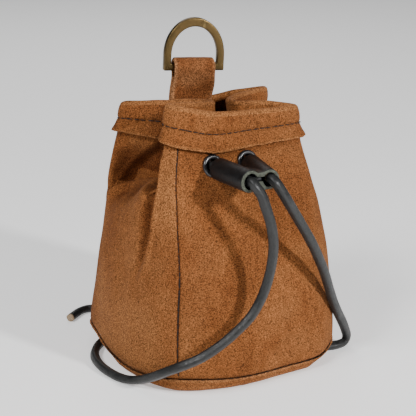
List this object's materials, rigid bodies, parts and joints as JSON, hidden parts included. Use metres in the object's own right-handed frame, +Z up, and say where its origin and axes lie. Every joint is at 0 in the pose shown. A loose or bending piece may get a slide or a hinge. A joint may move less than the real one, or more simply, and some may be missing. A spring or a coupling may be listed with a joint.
{
  "type": "belt pouch",
  "caption": "Drawstring belt pouch of brown suede, round-cornered base, folded hem, side pleats, black cord slider and a brass ring on a strap.",
  "frame": {"origin": "on the floor under the middle of the base", "axes": "+Z up, the front face with the eyelets towards -Y, +X to the right seen from the front"},
  "size_m": [0.1223, 0.1396, 0.1617],
  "materials": {
    "suede": "napped suede",
    "base_suede": "napped suede",
    "strap_suede": "napped suede",
    "brass": "antique brass",
    "black_metal": "glossy black",
    "slider_leather": "smooth black",
    "cord_leather": "smooth dark cord"
  },
  "bodies": {
    "pouch": {"body_wrap": "suede", "base_panel": "base_suede", "belt_strap": "strap_suede", "eyelet_left": "black_metal", "eyelet_right": "black_metal", "cord_slider": "slider_leather", "drawcord_held": "cord_leather", "drawcord_left": "cord_leather", "drawcord_right": "cord_leather"},
    "ring": {"d_ring": "brass"}
  },
  "joints": [
    {"name": "ring_swing", "type": "hinge", "parent": "pouch", "child": "ring", "pos_m": [-0.0004, 0.01482, 0.13854], "axis": [0.9694, -0.2417, -0.0436], "range_deg": [-110, 100]}
  ]
}
